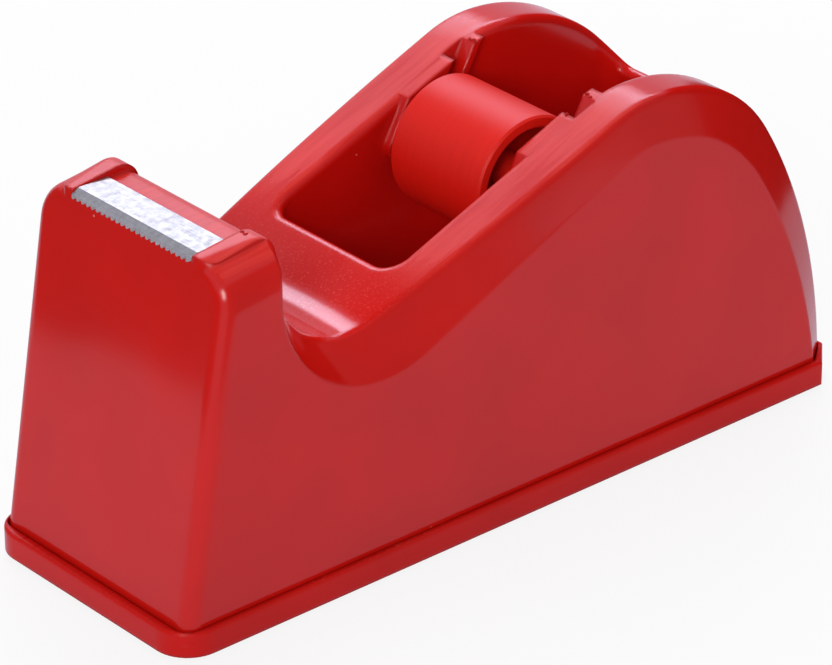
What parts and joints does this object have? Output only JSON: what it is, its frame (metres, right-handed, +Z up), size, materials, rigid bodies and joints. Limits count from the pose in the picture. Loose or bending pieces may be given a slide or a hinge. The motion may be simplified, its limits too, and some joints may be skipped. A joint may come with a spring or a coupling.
{
  "type": "desktop tape dispenser",
  "caption": "Hump-backed desktop tape dispenser: moulded shell with a tape well, lift-out core roller, toothed steel cutter on a front post and a weighted flanged base.",
  "frame": {"origin": "middle of the footprint, on the table under the feet", "axes": "+Z up, +X along the length from the cutter towards the hump's rear, +Y across"},
  "size_m": [0.16, 0.0554, 0.0735],
  "materials": {
    "shell_plastic": "glossy moulded red",
    "tray_plastic": "glossy moulded red",
    "hub_plastic": "satin moulded red",
    "blade_steel": "bright sheet",
    "pin_steel": "drawn wire",
    "ballast_iron": "as cast",
    "foot_rubber": "matt"
  },
  "bodies": {
    "dispenser": {"housing": "shell_plastic", "base_tray": "tray_plastic", "ballast_block": "ballast_iron", "cutting_blade": "blade_steel", "foot_front_left": "foot_rubber", "foot_front_right": "foot_rubber", "foot_rear_left": "foot_rubber", "foot_rear_right": "foot_rubber", "base_screws": "pin_steel"},
    "axle": {"hub_axle": "pin_steel"},
    "roller": {"tape_hub": "hub_plastic"}
  },
  "joints": [
    {"name": "axle_lift", "type": "slide", "parent": "dispenser", "child": "axle", "axis": [0.4802, 0, 0.8771], "range_m": [0, 0.045]},
    {"name": "roller_spin", "type": "hinge", "parent": "axle", "child": "roller", "pos_m": [0.0137, 0, 0.0574], "axis": [0, 1, 0], "continuous": true}
  ]
}
